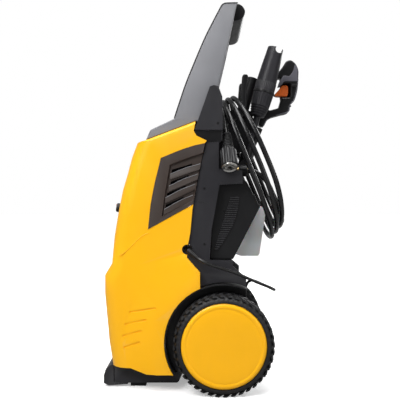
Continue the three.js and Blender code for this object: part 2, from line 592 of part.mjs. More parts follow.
const NUT_TILT = new THREE.Vector3(0.54, 0.05, -0.84).normalize();
const nutEnd = new THREE.Vector3(146, 57.5, 501);
const nutAt = (h) => nutEnd.clone().addScaledVector(NUT_TILT, -h);
const NUT_LENGTH = 50;
const RELIEF_LENGTH = 44;
add('hose_insert', STEEL, ring(10.5, 4, nutAt(-1.5), nutAt(NUT_LENGTH - 6), 20));
const NUT_R = 19;
add('hose_nut', BLACK, ring(NUT_R, 10.9, nutAt(0), nutAt(NUT_LENGTH - 5), 24)
  .add(ring(NUT_R, 8.5, nutAt(NUT_LENGTH - 5.4), nutAt(NUT_LENGTH), 24)));
add('hose_strain_relief', BLACK, turned(
  [[0, 0], [14, 0], [13.6, 10], [10, RELIEF_LENGTH], [0, RELIEF_LENGTH]],
  nutAt(NUT_LENGTH + 0.4), NUT_TILT.clone().negate(), 16,
));
add('hose_run_end', BLACK, tube([
  nutAt(NUT_LENGTH + RELIEF_LENGTH + 0.8).toArray(),
  nutAt(NUT_LENGTH + RELIEF_LENGTH + 16).toArray(),
  [76, 54, 610],
], HOSE_R, 3));
add('hose_run_outlet', BLACK, tube([
  [OUTLET_X, 104.4, 498], [OUTLET_X, 120, 498], [66, 142, 492], [76, 160, 476], [86, 171, 455], [93, 176, 438],
], HOSE_R, 8));

// ---------------------------------------------------------------- mains lead
const leadAxis = new THREE.Vector3(0.5, 0.68, -0.48).normalize();
const leadExit = GLAND.clone().addScaledVector(X, -2);
const RELIEF = 34;
const glandAt = (x) => GLAND.clone().addScaledVector(X, x);
add('lead_gland', BLACK, ring(11, 8.4, glandAt(-12), glandAt(-4.5), FINE_TURNS));
const leadAt = (h) => leadExit.clone().addScaledVector(leadAxis, h);
add('lead_strain_relief', BLACK, turned(
  [[0, 0], [5.4, 0], [5.4, 5], [6, 12], [4.6, RELIEF], [0, RELIEF]], leadAt(4), leadAxis, 14,
));
const LEAD_ROUTE = [
  leadAt(RELIEF + 4.4).toArray(), leadAt(RELIEF + 14).toArray(), [147, 24, 284], [144, 50, 276], [138, 76, 265],
  [130, 104, 252], [121, 128, 241], [111, 148, 232], [96, 161, 224], [72, 164, 220], [42, 154, 222], [8, 140, 225],
  [-24, 127, 227], [-46, 116, 223], [-59, 109, 209], [-64, 107, 188], [-65, 107, 158], [-65, 107, 130],
  [-65, 107, 100], [-65, 108, 70], [-65, 108, 44], [-64, 100, 20], [-60.8, 84, 8],
];
add('lead_run', BLACK, tube(LEAD_ROUTE, LEAD_R, 44));
const LEAD_COIL_CENTRE = new THREE.Vector3(0, 98, 0);
const LEAD_COIL_R = 42.7;
const LEAD_COIL_BAND = 15;
add('lead_coil', BLACK, ring(
  LEAD_COIL_R + LEAD_COIL_BAND, LEAD_COIL_R - LEAD_COIL_BAND,
  LEAD_COIL_CENTRE.clone().setZ(0.3), LEAD_COIL_CENTRE.clone().setZ(30), 24,
));
const PLUG = new THREE.Vector3(20, 43.5, 45.4);
add('lead_plug', BLACK, union(
  rod(PLUG, PLUG.clone().add(new THREE.Vector3(38, 0, 0)), 15, 16),
  rod(PLUG.clone().add(new THREE.Vector3(30, -7, 0)), PLUG.clone().add(new THREE.Vector3(56, -7, 0)), 2.4, 8),
  rod(PLUG.clone().add(new THREE.Vector3(30, 7, 0)), PLUG.clone().add(new THREE.Vector3(56, 7, 0)), 2.4, 8),
));

export default washer;
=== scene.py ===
"""How an upright electric pressure washer looks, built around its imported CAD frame.

Metres, +Z up. The machine faces -Y, and its right side, at +X, faces the camera.
"""

import json
import math

import bmesh
import bpy
from mathutils import Matrix, Vector


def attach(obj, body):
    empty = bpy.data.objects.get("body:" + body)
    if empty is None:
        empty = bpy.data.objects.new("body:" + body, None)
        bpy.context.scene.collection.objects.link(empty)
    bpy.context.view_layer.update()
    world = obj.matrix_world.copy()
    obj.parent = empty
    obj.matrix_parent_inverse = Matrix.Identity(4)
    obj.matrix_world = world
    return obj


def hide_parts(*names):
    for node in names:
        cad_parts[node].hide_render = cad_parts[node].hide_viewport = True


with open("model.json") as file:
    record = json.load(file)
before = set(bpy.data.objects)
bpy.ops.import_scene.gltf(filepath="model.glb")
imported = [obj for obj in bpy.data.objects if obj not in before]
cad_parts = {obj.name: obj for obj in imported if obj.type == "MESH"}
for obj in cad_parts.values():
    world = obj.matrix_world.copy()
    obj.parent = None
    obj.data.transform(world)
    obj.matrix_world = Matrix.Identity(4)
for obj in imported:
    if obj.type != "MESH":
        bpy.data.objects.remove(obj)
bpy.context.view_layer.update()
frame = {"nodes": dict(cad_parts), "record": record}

NODES = frame["nodes"]
RECORD = frame["record"]
BODY_OF = {node: body for body, nodes in RECORD["behaviour"]["bodies"].items() for node in nodes}
SLOT_OF = {part["node"]: part["material_slot"] for part in RECORD["subparts"]}
SHIFT_Y = 7.5  # the CAD drawing is moved back by this many millimetres

X_AXIS = Vector((1, 0, 0))
Y_AXIS = Vector((0, 1, 0))
Z_AXIS = Vector((0, 0, 1))


def at(x, y, z):
    """A point of the CAD drawing, in its millimetres, as metres in the row frame."""
    return Vector((x, y - SHIFT_Y, z)) / 1000


# ---------------------------------------------------------------- camera
CAMERA_PLACE = (1.370, -0.0155, 0.429)  # the camera is level and looks along -X
CAMERA_LENS = 50    # millimetres
CAMERA_SENSOR = 36  # millimetres


def set_camera():
    camera = bpy.data.objects.new("camera", bpy.data.cameras.new("camera"))
    bpy.context.collection.objects.link(camera)
    camera.data.lens = CAMERA_LENS
    camera.data.sensor_width = CAMERA_SENSOR
    camera.location = CAMERA_PLACE
    camera.rotation_euler = (math.radians(90), 0, math.radians(90))
    bpy.context.scene.camera = camera


set_camera()


# ---------------------------------------------------------------- materials
MIX_FACTOR, MIX_FIRST, MIX_SECOND, MIX_RESULT = 0, 6, 7, 2  # the Mix node's sockets for colours
PIT_SIZE = 0.0011           # metres between the pits in moulded plastic
SKIN_SIZE = 0.0016          # metres, the texture of rubber
STREAKED = (1.0, 1.0, 0.02)  # stretches metal's noise into streaks along Z
PLASTIC_DUST = (0.30, 0.29, 0.27, 1.0)
RUBBER_DUST = (0.22, 0.21, 0.20, 1.0)


class Nodes:
    """A material's node tree, with a short way to add nodes and links."""

    def __init__(self, name):
        self.material = bpy.data.materials.new(name)
        self.material.use_nodes = True
        self.tree = self.material.node_tree
        self.shader = self.tree.nodes["Principled BSDF"]
        self.place = self.add("ShaderNodeTexCoord").outputs["Object"]

    def add(self, kind, **inputs):
        node = self.tree.nodes.new(kind)
        for name, value in inputs.items():
            node.inputs[name.replace("_", " ")].default_value = value
        return node

    def link(self, source, target):
        self.tree.links.new(source, target)

    def noise(self, scale, detail=2.0, roughness=0.5, stretch=None):
        node = self.add("ShaderNodeTexNoise", Scale=scale, Detail=detail, Roughness=roughness)
        place = self.place
        if stretch:
            mapping = self.add("ShaderNodeMapping", Scale=stretch)
            self.link(place, mapping.inputs["Vector"])
            place = mapping.outputs["Vector"]
        self.link(place, node.inputs["Vector"])
        return node.outputs["Fac"]

    def ranged(self, value, low_in, high_in, low_out, high_out):
        node = self.add(
            "ShaderNodeMapRange", From_Min=low_in, From_Max=high_in, To_Min=low_out, To_Max=high_out
        )
        self.link(value, node.inputs["Value"])
        return node.outputs["Result"]

    def mix(self, factor, first, second):
        node = self.add("ShaderNodeMix")
        node.data_type = "RGBA"
        if isinstance(factor, (int, float)):
            node.inputs[MIX_FACTOR].default_value = factor
        else:
            self.link(factor, node.inputs[MIX_FACTOR])
        for index, value in ((MIX_FIRST, first), (MIX_SECOND, second)):
            socket = node.inputs[index]
            if isinstance(value, bpy.types.NodeSocket):
                self.link(value, socket)
            else:
                socket.default_value = value
        return node.outputs[MIX_RESULT]

    def bump(self, height, strength, distance, below=None):
        node = self.add("ShaderNodeBump", Strength=strength, Distance=distance)
        self.link(height, node.inputs["Height"])
        if below is not None:
            self.link(below, node.inputs["Normal"])
        return node.outputs["Normal"]


def shade(colour, factor):
    return (*[min(1.0, channel * factor) for channel in colour], 1.0)


def moulded(
    name, colour, roughness, grain=0.25, variation=0.12, edge_wear_and_highlight=0.35, dust=0.0, coat=0.0, shine=0.5,
):
    """Injection-moulded plastic: fine grain, slow colour drift, handling marks, and edges paled by
    pointiness, partly wear and partly painted highlight.
    """
    nodes = Nodes(name)
    drift = nodes.ranged(nodes.noise(7.0, 3.0), 0.3, 0.7, 0.0, 1.0)
    tone = nodes.mix(drift, shade(colour, 1 - variation), shade(colour, 1 + variation))
    rubbed = nodes.noise(38.0, 6.0, 0.65, stretch=(1.0, 1.0, 0.35))
    marks = nodes.ranged(rubbed, 0.52, 0.78, 0.0, 0.45)
    tone = nodes.mix(marks, tone, shade(colour, 1 + 1.3 * variation))
    if dust:
        haze = nodes.ranged(nodes.noise(16.0, 5.0, 0.7), 0.45, 0.8, 0.0, dust)
        tone = nodes.mix(haze, tone, PLASTIC_DUST)
    # every edge is made paler: partly wear, partly a painted highlight along the edge
    edges = nodes.add("ShaderNodeNewGeometry").outputs["Pointiness"]
    worn_and_lit_edges = nodes.ranged(edges, 0.515, 0.60, 0.0, edge_wear_and_highlight)
    pale = tuple(0.65 * channel + 0.16 for channel in colour)
    tone = nodes.mix(worn_and_lit_edges, tone, shade(pale, 1.0))
    nodes.link(tone, nodes.shader.inputs["Base Color"])
    gloss = nodes.ranged(rubbed, 0.35, 0.75, roughness - 0.06, roughness + 0.09)
    nodes.link(gloss, nodes.shader.inputs["Roughness"])
    pits = nodes.add("ShaderNodeTexVoronoi", Scale=1 / PIT_SIZE)
    nodes.link(nodes.place, pits.inputs["Vector"])
    fine = nodes.bump(pits.outputs["Distance"], grain, 0.00025)
    broad = nodes.bump(nodes.noise(26.0, 2.0), 0.10, 0.0012, fine)
    nodes.link(broad, nodes.shader.inputs["Normal"])
    nodes.shader.inputs["Specular IOR Level"].default_value = shine
    nodes.shader.inputs["Coat Weight"].default_value = coat
    nodes.shader.inputs["Coat Roughness"].default_value = 0.2
    return nodes.material


def rubbery(name, colour, roughness, variation=0.25, dust=0.12, shine=0.5):
    """Rubber and PVC: a soft skin with a little bloom and dust in the grain."""
    nodes = Nodes(name)
    bloom = nodes.ranged(nodes.noise(55.0, 5.0, 0.6), 0.35, 0.75, 0.0, 1.0)
    tone = nodes.mix(bloom, shade(colour, 1 - variation), shade(colour, 1 + variation))
    haze = nodes.ranged(nodes.noise(19.0, 6.0, 0.7), 0.5, 0.85, 0.0, dust)
    tone = nodes.mix(haze, tone, RUBBER_DUST)
    nodes.link(tone, nodes.shader.inputs["Base Color"])
    gloss = nodes.ranged(bloom, 0.0, 1.0, roughness - 0.06, roughness + 0.10)
    nodes.link(gloss, nodes.shader.inputs["Roughness"])
    fine = nodes.bump(nodes.noise(1 / SKIN_SIZE, 3.0), 0.35, 0.0002)
    nodes.link(fine, nodes.shader.inputs["Normal"])
    nodes.shader.inputs["Specular IOR Level"].default_value = shine
    return nodes.material


def metallic(name, colour, roughness, cast=0.0):
    """Metal: drawn or turned streaks, or a cast skin, with duller patches."""
    nodes = Nodes(name)
    streaks = nodes.noise(900.0, 2.0, 0.6, stretch=STREAKED)
    patches = nodes.noise(30.0, 4.0, 0.6)
    share = nodes.ranged(patches, 0.3, 0.75, 0.0, 1.0)
    tone = nodes.mix(share, shade(colour, 0.82), shade(colour, 1.06))
    nodes.link(tone, nodes.shader.inputs["Base Color"])
    gloss = nodes.ranged(patches, 0.3, 0.7, roughness - 0.06, roughness + 0.12)
    nodes.link(gloss, nodes.shader.inputs["Roughness"])
    nodes.shader.inputs["Metallic"].default_value = 1.0
    height = nodes.bump(streaks, 0.18, 0.0002)
    if cast:
        height = nodes.bump(nodes.noise(420.0, 4.0, 0.7), cast, 0.0006, height)
    nodes.link(height, nodes.shader.inputs["Normal"])
    return nodes.material


def blow_moulded(name, colour):
    """Milky polyethylene: thin, slightly see-through, with faint flow marks."""
    nodes = Nodes(name)
    flow = nodes.noise(22.0, 4.0, 0.6, stretch=(1.0, 1.0, 0.3))
    tone = nodes.mix(nodes.ranged(flow, 0.3, 0.7, 0.0, 1.0), shade(colour, 0.93), shade(colour, 1.05))
    nodes.link(tone, nodes.shader.inputs["Base Color"])
    gloss = nodes.ranged(flow, 0.3, 0.7, 0.34, 0.50)
    nodes.link(gloss, nodes.shader.inputs["Roughness"])
    fine = nodes.bump(nodes.noise(700.0, 2.0), 0.2, 0.0002)
    nodes.link(nodes.bump(flow, 0.25, 0.0015, fine), nodes.shader.inputs["Normal"])
    nodes.shader.inputs["Transmission Weight"].default_value = 0.04
    nodes.shader.inputs["Subsurface Weight"].default_value = 0.25
    nodes.shader.inputs["Subsurface Scale"].default_value = 0.01
    return nodes.material


MATERIALS = {
    "yellow_plastic": moulded(
        "yellow", (0.94, 0.46, 0.001), 0.36, grain=0.10, variation=0.03, edge_wear_and_highlight=0.15, coat=0.05, shine=0.35
    ),
    "grey_plastic": moulded("grey", (0.195, 0.197, 0.212), 0.50, grain=0.40, edge_wear_and_highlight=0.30),
    "charcoal_plastic": moulded(
        "charcoal", (0.0165, 0.0160, 0.0195), 0.42, grain=0.40, edge_wear_and_highlight=0.16, dust=0.01, shine=0.28
    ),
    "grille_plastic": moulded("grille", (0.040, 0.028, 0.023), 0.40, grain=0.35, edge_wear_and_highlight=0.35, shine=0.40),
    "gun_plastic": moulded("gun_grey", (0.078, 0.076, 0.094), 0.38, grain=0.25, edge_wear_and_highlight=0.22),
    "black_plastic": moulded("black", (0.0050, 0.0050, 0.0058), 0.33, grain=0.30, edge_wear_and_highlight=0.10, shine=0.24),
    "orange_plastic": moulded(
        "orange", (0.62, 0.105, 0.004), 0.36, grain=0.10, edge_wear_and_highlight=0.15, coat=0.05, shine=0.35
    ),
    "milky_plastic": blow_moulded("milky", (0.93, 0.89, 0.90)),
    "rubber": rubbery("tyre_rubber", (0.0085, 0.0085, 0.0095), 0.56, shine=0.35, dust=0.06),
    "hose_rubber": rubbery(
        "hose_jacket", (0.0050, 0.0050, 0.0056), 0.26, variation=0.18, dust=0.015, shine=0.42
    ),
    "lead_rubber": rubbery(
        "lead_jacket", (0.0065, 0.0062, 0.0062), 0.30, variation=0.18, dust=0.015, shine=0.42
    ),
    "steel": metallic("plated_steel", (0.62, 0.61, 0.58), 0.24),
    "aluminium": metallic("cast_aluminium", (0.60, 0.61, 0.62), 0.42, cast=0.35),
    "brass": metallic("turned_brass", (0.62, 0.44, 0.19), 0.30),
}


# ---------------------------------------------------------------- making pieces
WELD = 0.00002      # metres: corners of a CAD piece closer than this are one
FLAT_ANGLE = 0.5    # degrees: faces of a CAD piece that turn less than this are one


def put(name, mesh, body, slot, stands_for=(), sharp=34):
    """Shows a mesh whose vertices are already in the row frame."""
    piece = bpy.data.objects.new(name, mesh)
    bpy.context.collection.objects.link(piece)
    mesh.materials.clear()
    mesh.materials.append(MATERIALS[slot])
    mesh.shade_smooth()
    if sharp:
        mesh.set_sharp_from_angle(angle=math.radians(sharp))
    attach(piece, body)
    if stands_for:
        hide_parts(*stands_for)
    return piece


def mesh_of(name, work):
    bmesh.ops.recalc_face_normals(work, faces=work.faces)
    mesh = bpy.data.meshes.new(name)
    work.to_mesh(mesh)
    work.free()
    return mesh


def round_edges(piece, width, segments=3, angle=30):
    edge = piece.modifiers.new("edge", "BEVEL")
    edge.width = width / 1000
    edge.segments = segments
    edge.limit_method = "ANGLE"
    edge.angle_limit = math.radians(angle)
    edge.harden_normals = True


def refine(node, width=1.2, segments=3, angle=30, slot=None):
    """The CAD piece itself with its flats made whole and its edges rounded."""
    mesh = NODES[node].data.copy()
    for layer in ("custom_normal", "sharp_edge"):
        if layer in mesh.attributes:
            mesh.attributes.remove(mesh.attributes[layer])
    work = bmesh.new()
    work.from_mesh(mesh)
    bmesh.ops.remove_doubles(work, verts=work.verts, dist=WELD)
    bmesh.ops.dissolve_limit(
        work, angle_limit=math.radians(FLAT_ANGLE), verts=work.verts, edges=work.edges, delimit={"NORMAL"}
    )
    work.to_mesh(mesh)
    work.free()
    piece = put(f"{node}_skin", mesh, BODY_OF[node], slot or SLOT_OF[node], (node,), sharp=0)
    round_edges(piece, width, segments, angle)


def frame_of(axis):
    """Two directions across an axis."""
    side = axis.cross(Z_AXIS if abs(axis.z) < 0.9 else X_AXIS).normalized()
    return side, axis.cross(side).normalized()


def lathe_into(work, profile, foot, axis, segments=96, shape=None):
    """Adds a turned form to work: profile is (radius, height) in millimetres along the axis from foot."""
    axis = axis.normalized()
    across, over = frame_of(axis)
    rings = []
    for radius, height in profile:
        centre = foot + axis * (height / 1000)
        if radius < 1e-6:
            rings.append([work.verts.new(centre)])
            continue
        ring = []
        for i in range(segments):
            angle = 2 * math.pi * i / segments
            r = shape(radius, height, angle) if shape else radius
            outward = across * math.cos(angle) + over * math.sin(angle)
            ring.append(work.verts.new(centre + outward * (r / 1000)))
        rings.append(ring)
    for first, second in zip(rings, rings[1:]):
        for i in range(segments):
            j = (i + 1) % segments
            low = [first[i % len(first)], first[j % len(first)]]
            high = [second[j % len(second)], second[i % len(second)]]
            corners = list(dict.fromkeys(low + high))
            if len(corners) > 2:
                work.faces.new(corners)


def lathe(name, profile, foot, axis, body, slot, stands_for=(), segments=96, shape=None, sharp=34):
    work = bmesh.new()
    lathe_into(work, profile, foot, axis, segments, shape)
    bmesh.ops.remove_doubles(work, verts=work.verts, dist=1e-7)
    return put(name, mesh_of(name, work), body, slot, stands_for, sharp)


def filleted(points, radius, steps=5):
    """The outline with each corner rounded, as far as its sides allow."""
    result = []
    count = len(points)
    for i, point in enumerate(points):
        here = Vector(point)
        before = Vector(points[i - 1]) - here
        after = Vector(points[(i + 1) % count]) - here
        reach = min(radius, before.length * 0.45, after.length * 0.45)
        start = here + before.normalized() * reach
        end = here + after.normalized() * reach
        for step in range(steps + 1):
            t = step / steps
            result.append(tuple(start.lerp(here, t).lerp(here.lerp(end, t), t)))
    return result


def plate_mesh(name, outline, x0, x1, edge, holes=()):
    """A flat form cut to an outline of (y, z) millimetres, from x0 to x1, with its rims rounded by edge."""
    curve = bpy.data.curves.new(name, "CURVE")
    curve.dimensions = "2D"
    curve.fill_mode = "BOTH"
    curve.bevel_resolution = 3
    curve.bevel_depth = edge
    curve.offset = -edge
    curve.extrude = (x1 - x0) / 2 - edge
    for points in (outline, *holes):
        spline = curve.splines.new("POLY")
        spline.points.add(len(points) - 1)
        for target, (y, z) in zip(spline.points, points):
            target.co = (y, z, 0, 1)
        spline.use_cyclic_u = True
    holder = bpy.data.objects.new(name, curve)
    bpy.context.collection.objects.link(holder)
    bpy.context.view_layer.update()
    mesh = bpy.data.meshes.new_from_object(holder.evaluated_get(bpy.context.evaluated_depsgraph_get()))
    bpy.data.objects.remove(holder)
    bpy.data.curves.remove(curve)
    scale = 0.001
    middle = (x0 + x1) / 2
    mesh.transform(Matrix((
        (0, 0, scale, middle * scale), (scale, 0, 0, -SHIFT_Y * scale), (0, scale, 0, 0), (0, 0, 0, 1),
    )))
    return mesh


def welded(name, meshes):
    """Several meshes as one."""
    work = bmesh.new()
    for mesh in meshes:
        work.from_mesh(mesh)
        bpy.data.meshes.remove(mesh)
    bmesh.ops.remove_doubles(work, verts=work.verts, dist=0.00001)
    return mesh_of(name, work)


def plate(name, outline, x0, x1, edge, body, slot, stands_for=(), holes=(), sharp=40):
    mesh = welded(name, [plate_mesh(name, outline, x0, x1, edge, holes)])
    return put(name, mesh, body, slot, stands_for, sharp)


def smooth_path(points, per_span=8):
    """Points along the smooth line through the given ones."""
    ends = [points[0] * 2 - points[1], *points, points[-1] * 2 - points[-2]]
    result = []
    for a, b, c, d in zip(ends, ends[1:], ends[2:], ends[3:]):
        for step in range(per_span):
            t = step / per_span
            squared = (2 * a - 5 * b + 4 * c - d) * t * t
            cubed = (3 * b - a - 3 * c + d) * t ** 3
            result.append(0.5 * ((2 * b) + (c - a) * t + squared + cubed))
    result.append(points[-1].copy())
    return result


def line(name, points, radius, body, slot, stands_for=()):
    """A cord, bead or wire along points in metres, radius in millimetres."""
    curve = bpy.data.curves.new(name, "CURVE")
    curve.dimensions = "3D"
    curve.bevel_depth = radius / 1000
    curve.bevel_resolution = 5
    curve.use_fill_caps = True
    spline = curve.splines.new("POLY")
    spline.points.add(len(points) - 1)
    for target, point in zip(spline.points, points):
        target.co = (*point, 1)
    curve.materials.append(MATERIALS[slot])
    piece = bpy.data.objects.new(name, curve)
    bpy.context.collection.objects.link(piece)
    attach(piece, body)
    if stands_for:
        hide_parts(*stands_for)
    return piece


def box_into(work, corner, size, turn=None):
    """Adds a box to work: its lowest corner and its size in drawing millimetres."""
    x, y, z = corner
    w, d, h = size
    made = []
    for dz in (0, 1):
        for dx, dy in ((0, 0), (1, 0), (1, 1), (0, 1)):
            made.append(work.verts.new(at(x + w * dx, y + d * dy, z + h * dz)))
    for face in ((0, 3, 2, 1), (4, 5, 6, 7), (0, 1, 5, 4), (1, 2, 6, 5), (2, 3, 7, 6), (3, 0, 4, 7)):
        work.faces.new([made[i] for i in face])
    if turn:
        bmesh.ops.transform(work, matrix=turn, verts=made)


def mirror_pairs(build):
    """Builds a piece for the right side, then for the left."""
    for side, name in ((1, "right"), (-1, "left")):
        build(side, name)


def side_span(side, near, far):
    """The lowest and highest X between two distances from the middle, on one side."""
    return sorted((side * near, side * far))


def smoothstep(t):
    t = min(1.0, max(0.0, t))
    return t * t * (3 - 2 * t)


# ---------------------------------------------------------------- mains lead
LEAD_R = 3.5
GLAND = (128, -37, 318)
LEAD_AXIS = Vector((0.5, 0.68, -0.48)).normalized()
LEAD_EXIT = at(GLAND[0] - 2, GLAND[1], GLAND[2])
LEAD_TURNS = 4        # turns in each layer of the coil
LEAD_LAYERS = 4
LEAD_PITCH = 7.1
LEAD_COIL_Y = 98        # middle of the coil
LEAD_COIL_OUTER = 54.2  # radius of its outer turns
LEAD_COIL_LOW = 3.9     # height of its lowest layer
LEAD_COIL_START = math.radians(-30)
LEAD_COIL_STEPS = 24    # points in a turn
LEAD_COIL_SHORT = 1.03  # turns by which the last layer stops early, to rise to the plug


def lead_at(height):
    return LEAD_EXIT + LEAD_AXIS * (height / 1000)


def lead_points():
    drawn = [
        (150.5, 1, 292.4), (150.3, 14, 286.8), (148, 26, 282.6), (144, 50, 274.6), (138, 76, 265),
        (130, 104, 252), (121, 128, 241), (111, 148, 232), (96, 161, 224), (72, 164, 220), (42, 154, 222),
        (8, 140, 225), (-24, 127, 227), (-46, 117, 222), (-59, 110.5, 208), (-64, 108, 187),
        (-65, 107.5, 158), (-65, 107.5, 130), (-65, 108, 100), (-65, 110, 76), (-65, 110.5, 57),
        (-64.8, 110.5, 39), (-64.3, 108, 25.6), (-62.9, 100.8, 14.8), (-60.1, 90.1, 7.6), (-55.8, 78, 5),
        (-50, 67.7, 4.9),
    ]
    points = [lead_at(14), lead_at(26), lead_at(38), *(at(*point) for point in drawn)]
    total = LEAD_TURNS * LEAD_LAYERS
    for step in range(1, total * LEAD_COIL_STEPS):
        turns = step / LEAD_COIL_STEPS
        if turns > total - LEAD_COIL_SHORT:
            break
        whole = int(turns)
        part = turns - whole
        layer, column = divmod(whole, LEAD_TURNS)
        last = column == LEAD_TURNS - 1
        # each turn is wound level, steps aside to the next turn, and at a layer's end climbs
        place = column + (0 if last else smoothstep((part - 0.35) / 0.40))
        climb = smoothstep((part - 0.75) / 0.25) if last and layer < LEAD_LAYERS - 1 else 0
        radius = LEAD_COIL_OUTER - LEAD_PITCH * (place if layer % 2 == 0 else LEAD_TURNS - 1 - place)
        radius += 4.2 * (1 - smoothstep(turns * 2))
        height = LEAD_COIL_LOW + LEAD_PITCH * (layer + climb) + (1 - smoothstep(turns * 5))
        angle = LEAD_COIL_START - 2 * math.pi * turns
        points.append(at(-radius * math.cos(angle), LEAD_COIL_Y + radius * math.sin(angle), height))
    points += [at(-44, 65.5, 29), at(-27, 51.5, 38), at(-7, 44.6, 44), at(10, 43.5, 45.4), at(24, 43.5, 45.4)]
    return points


lead = line(
    "mains_lead", smooth_path(lead_points(), 4), LEAD_R, "machine", "lead_rubber", ("lead_run", "lead_coil")
)


def lead_relief():
    """The lead's moulded bend relief: a taper cut into rings on the gland side."""
    profile = [(0, 0), (5.4, 0), (5.4, 4.5)]
    height = 5.0
    while height < 31:
        radius = 6.2 - 1.5 * (height - 5) / 26
        groove = radius - 1.0
        profile += [(radius, height), (radius, height + 1.9), (groove, height + 2.2), (groove, height + 3.0)]
        height += 3.3
    profile += [(4.5, 32.4), (4.3, 34), (3.6, 34), (0, 33.9)]
    return lathe(
        "lead_relief_rings", profile, lead_at(4), LEAD_AXIS, "machine", "rubber", ("lead_strain_relief",), 40
    )


lead_relief_piece = lead_relief()


# ---------------------------------------------------------------- high pressure hose
HOSE_R = 6
COIL_CENTRE = at(0, 121.6, 512.3)
COIL_DROP = Vector((0, 0.386, -0.9225))
COIL_NORMAL = Vector((0, 0.9225, 0.386))
NUT_END = at(146, 57.5, 501)
NUT_AXIS = Vector((0.54, 0.05, -0.84)).normalized()
LOOP_FULLNESS = 2.5  # 2 would make the loops plain ovals
# A hung hose never falls in equal loops. Keys are turns: 0 at the +X side, then down, across and up again.
LOOP_WIDTH = {0.0: 120, 0.5: 119, 1.0: 125, 1.5: 125, 2.0: 128, 2.5: 121, 3.0: 122, 3.5: 128, 4.0: 124}
LOOP_LENGTH = {0.25: 152, 0.75: 171, 1.25: 160, 1.75: 172, 2.25: 168, 2.75: 171, 3.25: 176, 3.75: 170}
LOOP_OFFSET = {
    0.0: 26, 0.25: 12, 0.5: 18, 0.75: 16, 1.0: 24, 1.25: -1, 1.5: 5, 1.75: 3.4, 2.0: 4, 2.25: -14,
    2.5: -9, 2.75: -9.2, 3.0: -19, 3.25: -27, 3.5: -24, 3.75: -22, 4.0: -20,
}


def nut_at(height):
    return NUT_END - NUT_AXIS * (height / 1000)


def keyed(values, turns):
    """The value at some turns, eased between the nearest two keys."""
    keys = sorted(values)
    turns = min(max(turns, keys[0]), keys[-1])
    before = max(key for key in keys if key <= turns)
    after = min(key for key in keys if key >= turns)
    if before == after:
        return values[before]
    share = smoothstep((turns - before) / (after - before))
    return values[before] + (values[after] - values[before]) * share


def hung(across, down, offset):
    """A point of the hung coil: millimetres across it, down it, and out from its middle."""
    return COIL_CENTRE + (X_AXIS * across + COIL_DROP * down + COIL_NORMAL * offset) / 1000


def loop_point(turns):
    """A point on the hung loops."""
    angle = 2 * math.pi * turns
    power = 2 / LOOP_FULLNESS
    cos, sin = math.cos(angle), math.sin(angle)
    across = keyed(LOOP_WIDTH, turns) * math.copysign(abs(cos) ** power, cos)
    down = keyed(LOOP_LENGTH, turns) * math.copysign(abs(sin) ** power, sin)
    return hung(across, down, keyed(LOOP_OFFSET, turns))


def hose_points():
    start = [
        at(62, 100, 498), at(62, 117.3, 495.4), at(62.4, 133.2, 488), at(63, 146.3, 476.2),
        at(64, 155.4, 461.2),
        hung(65, 75, 11.5), hung(65, 90, 12), hung(60.2, 114, 12), hung(46.5, 134.5, 12), hung(26.5, 148, 12),
        hung(2, 152.6, 12),
    ]
    first, last = 0.27, 3.74
    count = 78
    loops = [loop_point(first + (last - first) * i / count) for i in range(count + 1)]
    over = [at(8, 36.4, 661), at(27, 38.8, 659.4), at(43.5, 43, 652), at(57, 47.5, 638.6)]
    end = [nut_at(140), nut_at(122), nut_at(108), nut_at(94), nut_at(78), nut_at(62)]
    return start + loops + over + end


hose = line(
    "pressure_hose", smooth_path(hose_points(), 8), HOSE_R, "machine", "hose_rubber",
    ("hose_coil", "hose_run_end", "hose_run_outlet"),
)


def fluted(count, depth, low, high):
    """A lathe shape with rounded flutes between two heights."""
    def shape(radius, height, angle):
        if not low <= height <= high:
            return radius
        return radius - depth * max(0.0, math.cos(count * angle)) ** 0.7
    return shape


def hose_end():
    nut = [
        (10.9, 0), (17.4, 0), (18.6, 0.8), (19, 2), (19, 6), (19, 40), (18.6, 43.5), (17.2, 46.5),
        (15.8, 48.6), (14.4, 50), (8.6, 50), (8.6, 45), (10.9, 44.8), (10.9, 0),
    ]
    nut_piece = lathe(
        "hose_nut_fluted", nut, nut_at(0), -NUT_AXIS, "machine", "black_plastic", ("hose_nut",), 160,
        fluted(16, 2.0, 5.9, 43.6),
    )
    insert = [
        (4.2, -1.3), (5.0, -1.5), (7.4, -1.5), (7.9, -1.0), (7.9, 3.2), (12.0, 3.2), (12.4, -0.5),
        (12.9, -1.0), (13.6, -0.5), (14.2, -0.5), (15.2, -1.4), (16.8, -1.4), (17.6, -0.9), (17.7, -0.25),
        (10.5, -0.2), (10.5, 44), (4, 44), (4.2, -1.3),
    ]
    insert_piece = lathe(
        "hose_insert_turned", insert, nut_at(0), -NUT_AXIS, "machine", "steel", ("hose_insert",), 64
    )
    relief = [(0, 0), (13.4, 0), (13.6, 0.8), (13.6, 2)]
    height = 2.0
    while height < 39:
        radius = 13.6 - 3.4 * height / 42
        relief += [
            (radius - 2.2, height + 0.5), (radius - 2.2, height + 2.0), (radius - 0.3, height + 2.5),
            (radius, height + 3.2), (radius - 0.3, height + 4.6),
        ]
        height += 4.7
    relief += [(9.6, 43.2), (8.6, 44), (0, 44)]
    relief_piece = lathe(
        "hose_relief_rings", relief, nut_at(50.4), -NUT_AXIS, "machine", "rubber", ("hose_strain_relief",), 48
    )
    return [nut_piece, insert_piece, relief_piece]


hose_end_pieces = hose_end()


